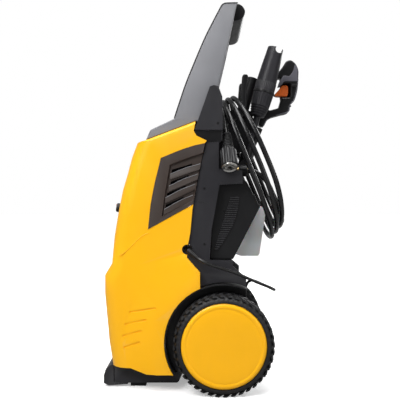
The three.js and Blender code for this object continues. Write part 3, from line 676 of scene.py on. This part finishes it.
def plug():
    """A moulded mains plug lying on the lead's coil, with two round pins."""
    foot = at(20, 43.5, 45.4)
    body = [(0, -1), (5.2, -1), (5.6, 0)]
    for rib in range(4):
        body += [(5.8 + rib, 1 + 2.6 * rib), (7.2 + rib, 1.6 + 2.6 * rib), (7.2 + rib, 2.6 + 2.6 * rib)]
    body += [(11.5, 13), (13.6, 16), (14.8, 20), (15, 26), (15, 35), (14, 37.6), (12.6, 38), (0, 38)]
    flat = 0.80

    def shape(radius, height, angle):
        grip = 0.5 * max(0.0, math.cos(26 * angle)) if 17 < height < 34 else 0.0
        return radius * (1 - (1 - flat) * abs(math.sin(angle)) ** 3) - grip

    work = bmesh.new()
    lathe_into(work, body, foot, X_AXIS, 104, shape)
    for y in (36.5, 50.5):
        pin = [(0, 0), (2.4, 0), (2.4, 17.4), (1.6, 18), (0, 18)]
        lathe_into(work, pin, at(58, y, 45.4), X_AXIS, 24)
    return put("mains_plug", mesh_of("mains_plug", work), "machine", "black_plastic", ("lead_plug",))


plug_piece = plug()
OUTLET_BOOT = [(9.3, 0), (13.4, 0), (13.8, 0.6), (13.8, 16), (12.4, 20), (9.3, 20), (9.3, 0)]
lathe(
    "outlet_boot", OUTLET_BOOT, at(62, 83.4, 498), Y_AXIS, "machine", "black_plastic", (), 48,
    fluted(12, 0.8, 0.5, 16.1),
)


# ---------------------------------------------------------------- wheels
WHEEL_Y, WHEEL_Z = 44, 111
WHEEL_IN = 113
TREAD_BLOCKS = 40       # in each of the tyre's two rows
TREAD_SLANT = 0.055     # radians, half a chevron's lean
TREAD_WIDTH = 0.098     # radians, at a block's foot
TREAD_LOW, TREAD_HIGH = 107.2, 110.9
RIM_WEBS = 12
WEB_DEPTH = 15


def wheel(side, name):
    axis = X_AXIS * side
    foot = at(side * WHEEL_IN, WHEEL_Y, WHEEL_Z)
    body = f"wheel_{name}"

    tyre = [
        (94, 1), (97, 0.4), (103, 1.2), (106.2, 4), (107.6, 8), (108.2, 14), (108.4, 27), (108.2, 40),
        (107.4, 45.5), (105.4, 50), (102.6, 53), (99.6, 54.6), (96.6, 55.4), (94.6, 55.4), (94.2, 53),
        (94, 50), (94, 1),
    ]

    def ribbed_side(radius, height, angle):
        """Shallow radial ribs moulded into the outer wall."""
        if height > 45 and 97 < radius < 107:
            return radius + 0.55 * math.copysign(abs(math.sin(60 * angle)) ** 0.6, math.sin(60 * angle))
        return radius

    work = bmesh.new()
    lathe_into(work, tyre, foot, axis, 480, ribbed_side)
    for i in range(TREAD_BLOCKS):
        for near, far, ahead, slant in ((1.5, 25.6, 0.0, TREAD_SLANT), (29.4, 53.5, 0.5, -TREAD_SLANT)):
            start = 2 * math.pi * (i + ahead) / TREAD_BLOCKS
            make_block(work, foot, side, near, far, start, slant)
    put(f"tyre_tread_{name}", mesh_of(f"tyre_{name}", work), body, "rubber", (f"tyre_{name}",), 30)

    rim = [
        (8.4, 0), (15.2, 0), (16, 1), (16, 18.6), (17.5, 20), (84, 20), (85.4, 19), (86.4, 3.2),
        (87.6, 2), (93.2, 2), (93.8, 2.8), (93.8, 48.6), (93, 49.2), (88, 49.2), (86.4, 48.4), (86, 25),
        (84.6, 24), (17.4, 24), (16, 25), (16, 30), (8.4, 30), (8.4, 0),
    ]
    work = bmesh.new()
    lathe_into(work, rim, foot, axis, 144)
    x0, x1 = side_span(side, WHEEL_IN + 4, WHEEL_IN + 4 + WEB_DEPTH)
    for i in range(RIM_WEBS):
        angle = 2 * math.pi * i / RIM_WEBS
        turn = Matrix.Translation(foot) @ Matrix.Rotation(angle, 4, "X") @ Matrix.Translation(-foot)
        box_into(work, (x0, WHEEL_Y - 1.4, WHEEL_Z + 16), (x1 - x0, 2.8, 70), turn)
    put(f"rim_webbed_{name}", mesh_of(f"rim_{name}", work), body, "charcoal_plastic", (f"rim_{name}",), 30)

    cap = [
        (0, 54), (30, 54), (76, 53.6), (86, 50.8), (90.6, 49.6), (92.6, 50.2), (93.7, 51.6), (93.6, 52.8),
        (92.6, 54.3), (90.6, 55.7), (88.4, 56.5), (86.0, 56.85), (83.6, 56.7), (82.4, 56.2), (81.4, 56.1),
        (79.6, 56.5), (76, 56.8), (58, 56.95), (30, 57), (0, 57),
    ]
    lathe(f"hubcap_dished_{name}", cap, foot, axis, body, "yellow_plastic", (f"hubcap_{name}",), 160)


def make_block(work, foot, side, near, far, start, slant):
    """One tread block of the tyre, slanted across it as half a chevron, its top smaller than its foot."""
    corners = []
    for radius, shrink, edge in ((TREAD_LOW, 0.0, 0.0), (TREAD_HIGH, 0.014, 1.4)):
        for x_here, swing in ((near + edge, -slant), (far - edge, slant)):
            for turn in (-TREAD_WIDTH / 2 + shrink, TREAD_WIDTH / 2 - shrink):
                angle = start + swing + turn
                corners.append(work.verts.new(foot + Vector((
                    side * x_here, radius * math.cos(angle), radius * math.sin(angle)
                )) / 1000))
    for face in ((0, 1, 3, 2), (4, 6, 7, 5), (0, 4, 5, 1), (2, 3, 7, 6), (0, 2, 6, 4), (1, 5, 7, 3)):
        work.faces.new([corners[i] for i in face])


mirror_pairs(wheel)
refine("axle", 0.8)


# ---------------------------------------------------------------- casing, grilles, tray
refine("casing", 1.5, 3, 26)


def casing_lines(side, name):
    """The S-shaped crease on the casing's side, a fine bead."""
    drawn = [
        (-124.5, 354.5), (-131, 352.5), (-140, 347), (-150, 338), (-160, 327), (-171, 316), (-182, 308),
        (-191, 303.5),
    ]
    points = smooth_path([at(side * 128.0, y, z) for y, z in drawn], 5)
    line(f"casing_crease_{name}", points, 0.7, "machine", "yellow_plastic")


mirror_pairs(casing_lines)

for node_name in ("grille_right", "grille_left"):
    refine(node_name, 0.9, 3, 28)


def grille_details(side, name):
    """A grey bead along the top of each blade as a painted highlight, and a black sheet behind the slots as
    painted shade.
    """
    blades = (
        ((-74, 488.4), (-7, 511.2)), ((-77, 461.4), (-13, 488.2)),
        ((-85, 435.4), (-19, 465.8)), ((-88, 409.4), (-24, 441.2)),
    )
    for i, ((y0, z0), (y1, z1)) in enumerate(blades):
        middle = ((y0 + y1) / 2, (z0 + z1) / 2 + 1.0)
        # the bead is grey on the dark grille: a painted highlight on the blade's top edge
        highlight_bead = [at(side * 127.6, y, z) for y, z in ((y0, z0 - 1.2), middle, (y1, z1 - 1.2))]
        line(f"blade_highlight_{i}_{name}", smooth_path(highlight_bead, 6), 0.55, "machine", "grey_plastic")
    # a black sheet behind the slots: painted shade for the dark inside of the casing
    shade_sheet = [(-90, 396), (-27, 428), (-17, 468), (-9, 508), (-4, 532), (-38, 519), (-72, 505), (-82, 450)]
    x0, x1 = side_span(side, 97.0, 99.0)
    plate(f"grille_shade_sheet_{name}", shade_sheet, x0, x1, 0.5, "machine", "black_plastic")


mirror_pairs(grille_details)
for node_name in ("arch_liner_right", "arch_liner_left"):
    refine(node_name, 0.6, 2)
refine("base_tray", 1.5)
refine("front_foot", 2.2, slot="charcoal_plastic")
for node_name in ("foot_pad_right", "foot_pad_left"):
    refine(node_name, 1.6)


# ---------------------------------------------------------------- handle
ARM_FRONT = [(-67, 613), (-55, 649), (-41, 690), (-23, 735), (-7, 773), (8, 806), (36, 860)]
ARM_TOP = [(41, 868), (48, 872), (62, 872.8), (76, 873)]


def arm_rear(z):
    return 77 - (871 - z) * 0.236


def arm(side, name):
    outline = [*ARM_FRONT, *ARM_TOP, (arm_rear(807), 807), (arm_rear(606), 606), (-66.6, 606)]
    x0, x1 = side_span(side, 94.3, 120)
    plate(f"arm_shell_{name}", outline, x0, x1, 3.0, "machine", "grey_plastic", (f"handle_arm_{name}",))
    # a black bead along the arm's front and top edge: painted shade on its rounded edge
    edge = [at(side * 119.2, y + 1.0, z) for y, z in ((-66.4, 614), *ARM_FRONT[1:], *ARM_TOP)]
    line(f"arm_edge_shade_{name}", smooth_path(edge, 5), 1.5, "machine", "black_plastic")


mirror_pairs(arm)

GRIP = [
    (38, 862), (48, 872), (66, 877), (80, 878), (90, 872), (96, 861), (93, 849), (84, 841), (70, 838),
    (52, 846),
]
GRIP_HALF = 101.4
plate("grip_bar", filleted(GRIP, 9), -GRIP_HALF, GRIP_HALF, 1.5, "machine", "black_plastic", ("handle_grip",))
refine("handle_base", 3.0, 4)
for node_name in ("bracket_cover_right", "bracket_cover_left"):
    refine(node_name, 2.4, 4, 28)


# ---------------------------------------------------------------- rear column
refine("rear_frame", 1.8, 3, 28)
refine("rear_cover", 2.0, 3, 28)


def column_details(side, name):
    """A black plate as painted shadow under the bracket cover, and the seam across the column."""
    # a black plate where the recess under the bracket cover lies in shadow: painted shadow
    block = [(-17.5, 583.5), (40.5, 583.5), (40.5, 561), (6, 558.5), (-4, 560.5), (-17, 571)]
    x0, x1 = side_span(side, 121.0, 122.9)
    plate(f"column_shadow_block_{name}", block, x0, x1, 0.5, "machine", "black_plastic")
    seam = [at(side * 121.9, y, z) for y, z in ((-20, 426.5), (-10, 425), (0, 423), (9, 421.5))]
    line(f"column_seam_{name}", smooth_path(seam, 4), 0.5, "machine", "black_plastic")


mirror_pairs(column_details)


def cover_ribs(side, name):
    """The leaning stack of cooling ribs on each side of the rear cover, narrowest at its foot."""
    work = bmesh.new()
    x0 = side_span(side, 99.6, 103.6)[0]
    count = 25
    for i in range(count):
        share = i / (count - 1)
        width = 9 + 17 * math.sin(0.8 * math.pi * share)
        box_into(work, (x0, 25 + 37 * share, 316 + 4.9 * i), (4.0, width, 2.3))
    ribs = mesh_of(f"cover_ribs_{name}", work)
    piece = put(f"cover_ribs_{name}", ribs, "machine", "charcoal_plastic", sharp=20)
    round_edges(piece, 0.6, 2)


mirror_pairs(cover_ribs)


PRONG = [
    (31, 562), (31, 625), (45, 633), (81, 645.5), (89, 660), (89, 684), (92, 722), (95, 726), (103, 726),
    (106, 722), (102, 684), (102, 650), (94, 628), (60, 610), (44, 600), (44, 562),
]


PRONG_X = 52
PRONG_HALF = 9


def hook():
    """The two prongs that the hose hangs on, and the bridge between them."""
    outline = filleted(PRONG, 5)
    meshes = [plate_mesh("prong", outline, x - PRONG_HALF, x + PRONG_HALF, 3.2) for x in (-PRONG_X, PRONG_X)]
    bridge = filleted([(30.8, 562), (30.8, 600), (42, 600), (42, 562)], 2)
    meshes.append(plate_mesh("bridge", bridge, -PRONG_X, PRONG_X, 1.5))
    put("hook_prongs", welded("hook_prongs", meshes), "machine", "black_plastic", ("hose_hook",), 40)


hook()
refine("gun_holster", 1.4)
refine("nozzle_holder", 1.0, slot="black_plastic")


# ---------------------------------------------------------------- lance
LEAN = math.radians(15.3)
LANCE_AXIS = Vector((0, math.sin(LEAN), math.cos(LEAN)))
LANCE_RING = at(0, 149, 694)


def lance():
    body = [
        (0, -205), (5.4, -205), (6, -204.4), (6, -91), (6.6, -89.4), (8, -88), (8, -64), (12.6, -62),
        (16.6, -60.4), (17.8, -59), (18.2, -57.2), (17.4, -56.4), (17.6, -54.4), (19.4, -53.4),
        (19.8, -51.4), (18.8, -50.6), (19.0, -48.6), (20.8, -47.6), (21.2, -45.6), (20.2, -44.8),
        (20.4, -42.8), (22.0, -41.8), (22.4, -39.8), (21.4, -39), (21.8, -36.4), (23.2, -35), (23.6, -30),
        (24.6, -14), (25.2, -6), (25.3, -3.4), (24.4, -3.1), (0, -3),
    ]
    lathe(
        "lance_fluted", body, LANCE_RING, LANCE_AXIS, "lance", "charcoal_plastic", ("lance_body",), 168,
        fluted(20, 0.7, -30.1, -5.9), 30,
    )
    collar = [(20, -2.6), (25.6, -2.6), (26.4, -1.8), (26.4, 2.2), (25.6, 3), (20, 3), (20, -2.6)]
    lathe("lance_ring", collar, LANCE_RING, LANCE_AXIS, "lance", "black_plastic", ("lance_collar",), 96)


lance()
refine("turbo_nozzle", 1.6, 3, 32)


def nozzle_marks():
    """Grip ridges moulded round the turning nozzle."""
    def shape(radius, height, angle):
        return radius - 0.7 * max(0.0, math.cos(36 * angle))
    band = [(24.2, 8), (25.35, 8.8), (25.3, 24), (24.2, 25), (24.2, 8)]
    lathe("nozzle_ridges", band, LANCE_RING, LANCE_AXIS, "nozzle", "charcoal_plastic", (), 216, shape)


nozzle_marks()


# ---------------------------------------------------------------- trigger gun
GUN_X = -60
GUN_HALF = 15
TRIGGER_HALF = 9
GUN_OUTER = [
    (141, 620), (152, 615), (166, 638), (217, 652), (222, 672), (232, 682), (240, 709), (243.5, 739),
    (244, 761), (237, 777), (224, 787), (212, 784), (203, 769), (182, 742), (160, 690), (147, 645),
]
GUN_GAP = [
    (167, 657), (193, 664), (199, 684), (199, 690.5), (222, 690.5), (222, 726), (200, 726), (197, 742),
    (188, 737), (175, 700),
]


def gun():
    plate(
        "gun_grip", filleted(GUN_OUTER, 12), GUN_X - GUN_HALF, GUN_X + GUN_HALF, 4.2, "gun", "black_plastic",
        ("gun_body",), [filleted(GUN_GAP, 5)],
    )
    cheek = [
        (192, 719), (197, 735), (205, 747), (219, 744), (229, 757), (233, 774), (238, 771), (241.5, 760),
        (241, 736), (239, 731), (206, 731), (200, 722),
    ]
    plate("gun_cheek", filleted(cheek, 5), GUN_X - 15.7, GUN_X + 15.7, 1.6, "gun", "gun_plastic")
    for side, name in ((1, "right"), (-1, "left")):
        rim = [
            (153, 618), (167, 640.5), (192, 648), (216, 654.5), (221, 673), (231, 684), (238.4, 709),
            (241.4, 738),
        ]
        points = smooth_path([at(GUN_X + side * 12.6, y, z) for y, z in rim], 5)
        line(f"gun_rim_{name}", points, 2.1, "gun", "gun_plastic")
    web = [(199, 689), (223, 689), (223, 728), (199, 728)]
    plate("gun_web", web, GUN_X - 14.4, GUN_X - 10.6, 0.6, "gun", "black_plastic")
    trigger = [(181, 697), (187, 694), (214, 693), (217, 700), (218, 718), (214, 723), (202, 722), (191, 708)]
    plate(
        "trigger_lever", filleted(trigger, 3), GUN_X - TRIGGER_HALF, GUN_X + TRIGGER_HALF, 1.8, "trigger",
        "orange_plastic", ("trigger",),
    )


gun()
refine("gun_barrel", 0.8)
refine("trigger_lock", 1.0)


# ---------------------------------------------------------------- detergent bottle
refine("detergent_bottle", 4.0, 4, 30)
CAP_AXIS = Vector((0, 1, 0.14)).normalized()
lathe(
    "bottle_cap_ribbed",
    [(8, 5.5), (9.6, 5.5), (10, 6), (10, 13.6), (9.2, 15), (0, 15), (0, 6.5), (8, 6.5), (8, 5.5)],
    at(-28, 149, 384), CAP_AXIS, "cap", "black_plastic", ("bottle_cap",), 120,
    lambda radius, height, angle: radius - (0.5 * max(0.0, math.cos(24 * angle)) if radius > 9.5 else 0), 30,
)


# ---------------------------------------------------------------- switch
SWITCH_AXIS = Vector((0, -1, 0.18)).normalized()
SWITCH_FOOT = at(0, -180, 405)


def switch():
    bezel = [
        (9, 6), (15, 6), (15, 13.6), (17.4, 15.6), (18, 17), (18, 18.4), (17.2, 19), (13, 19),
        (12.2, 18.2), (9, 18.2), (9, 6),
    ]
    lathe("switch_ring", bezel, SWITCH_FOOT, SWITCH_AXIS, "machine", "black_plastic", ("switch_bezel",), 96)
    work = bmesh.new()
    knob = [
        (0, 7), (8.4, 7), (8.4, 19.5), (10.6, 20), (11, 20.8), (11, 31.6), (10.2, 33.2), (8.8, 33.9),
        (0, 33.9),
    ]
    lathe_into(work, knob, SWITCH_FOOT, SWITCH_AXIS, 96, fluted(18, 0.7, 20.7, 31.7))
    put("knob_fluted", mesh_of("knob_fluted", work), "knob", "black_plastic", ("power_knob",), 32)
    mark = [SWITCH_FOOT + SWITCH_AXIS * 0.0340 + Vector((0, 0, h / 1000)) for h in (2, 5, 8.4)]
    line("knob_mark", mark, 0.7, "knob", "orange_plastic")


switch()


# ---------------------------------------------------------------- screws
def screw(name, centre, axis, body, radius=3.2):
    """A low round screw head with a shallow recess."""
    work = bmesh.new()
    head = [
        (0, 0.2), (radius * 0.45, 0.2), (radius * 0.5, 0.5), (radius * 0.9, 0.45), (radius, 0.1),
        (radius, -1.2), (0, -1.2),
    ]
    lathe_into(work, head, centre, axis, 32)
    put(name, mesh_of(name, work), body, "black_plastic", (), 30)


def side_screws(side, name):
    axis = X_AXIS * side
    for i, (x, y, z) in enumerate(((128.0, 32, 601), (122.0, 2, 330), (122.0, 2, 455))):
        screw(f"screw_{i}_{name}", at(side * x, y, z), axis, "machine")


def gun_screws():
    for i, (y, z) in enumerate(((158, 634), (222, 668), (233, 750))):
        screw(f"gun_screw_{i}", at(GUN_X + GUN_HALF, y, z), X_AXIS, "gun", 2.2)


mirror_pairs(side_screws)
gun_screws()


# ---------------------------------------------------------------- parts inside the casing
for node_name, width in (
    ("switch_box", 1.5), ("motor_housing", 1.0), ("motor_end_cap", 1.0), ("rotor", 0.8), ("cooling_fan", 0.6),
    ("pump_body", 1.5), ("pump_manifold", 2.5), ("capacitor", 1.5), ("inlet_fitting", 0.8),
    ("outlet_fitting", 0.8), ("lead_gland", 0.6),
):
    refine(node_name, width)
refine("outlet_pipe", 0.3, 1, 60)


# ---------------------------------------------------------------- floor and light
WHITE = (1, 1, 1, 1)
FLOOR_REACH = 14.0       # metres from the middle to the floor's edge
FLOOR_BOUNCE = (0.30, 0.30, 0.30, 1)  # the floor's colour for the light that it sends back to the machine
FLOOR_GLOW = 0.36        # lifts the floor as the camera sees it, so that its far edge doesn't show
WORLD_LIGHT = 0.30       # strength of the world's light on the machine; the camera sees it as white
LAMPS = (
    # name, place, size, power, aim
    ("key", (1.5, -1.0, 1.7), 0.9, 30, (0, 0, 0.45)),
    ("fill", (1.9, 1.7, 0.9), 0.8, 7, (0, 0, 0.40)),
    ("top", (0.3, 0.2, 2.2), 1.2, 26, (0, 0, 0.50)),
    ("back", (-1.6, 1.2, 1.4), 1.2, 24, (0, 0, 0.45)),
)
SUN_POWER = 1.7
SUN_WIDTH = math.radians(50)
SUN_WAY = (-0.30, 0.22, -1.0)


def studio_floor():
    work = bmesh.new()
    bmesh.ops.create_grid(work, x_segments=1, y_segments=1, size=FLOOR_REACH)
    mesh = bpy.data.meshes.new("floor")
    work.to_mesh(mesh)
    work.free()
    floor = bpy.data.objects.new("floor", mesh)
    bpy.context.collection.objects.link(floor)
    nodes = Nodes("studio_floor")
    tone = nodes.mix(nodes.noise(2.0), (0.88, 0.88, 0.88, 1), (0.92, 0.92, 0.92, 1))
    seen = nodes.add("ShaderNodeLightPath").outputs["Is Camera Ray"]
    nodes.link(nodes.mix(seen, FLOOR_BOUNCE, tone), nodes.shader.inputs["Base Color"])
    nodes.shader.inputs["Roughness"].default_value = 0.9
    nodes.shader.inputs["Specular IOR Level"].default_value = 0.0
    nodes.shader.inputs["Emission Color"].default_value = WHITE
    nodes.link(nodes.ranged(seen, 0.0, 1.0, 0.0, FLOOR_GLOW), nodes.shader.inputs["Emission Strength"])
    mesh.materials.append(nodes.material)


def studio_world():
    world = bpy.data.worlds.new("studio")
    bpy.context.scene.world = world
    world.use_nodes = True
    tree = world.node_tree
    background = tree.nodes["Background"]
    background.inputs["Color"].default_value = WHITE
    seen = tree.nodes.new("ShaderNodeLightPath")
    strength = tree.nodes.new("ShaderNodeMapRange")
    strength.inputs["To Min"].default_value = WORLD_LIGHT
    strength.inputs["To Max"].default_value = 1.0
    tree.links.new(seen.outputs["Is Camera Ray"], strength.inputs["Value"])
    tree.links.new(strength.outputs["Result"], background.inputs["Strength"])
    bpy.context.scene.view_settings.view_transform = "Standard"


def hang_lamp(name, light, place, way):
    lamp = bpy.data.objects.new(name, light)
    bpy.context.collection.objects.link(lamp)
    lamp.location = place
    lamp.rotation_euler = way.to_track_quat("-Z", "Y").to_euler()


def studio_lamps():
    for name, place, size, power, aim in LAMPS:
        light = bpy.data.lights.new(name, "AREA")
        light.size = size
        light.energy = power
        hang_lamp(name, light, place, Vector(aim) - Vector(place))
    sun = bpy.data.lights.new("sky", "SUN")
    sun.angle = SUN_WIDTH
    sun.energy = SUN_POWER
    hang_lamp("sky", sun, (0, 0, 0), Vector(SUN_WAY))


studio_floor()
studio_world()
studio_lamps()
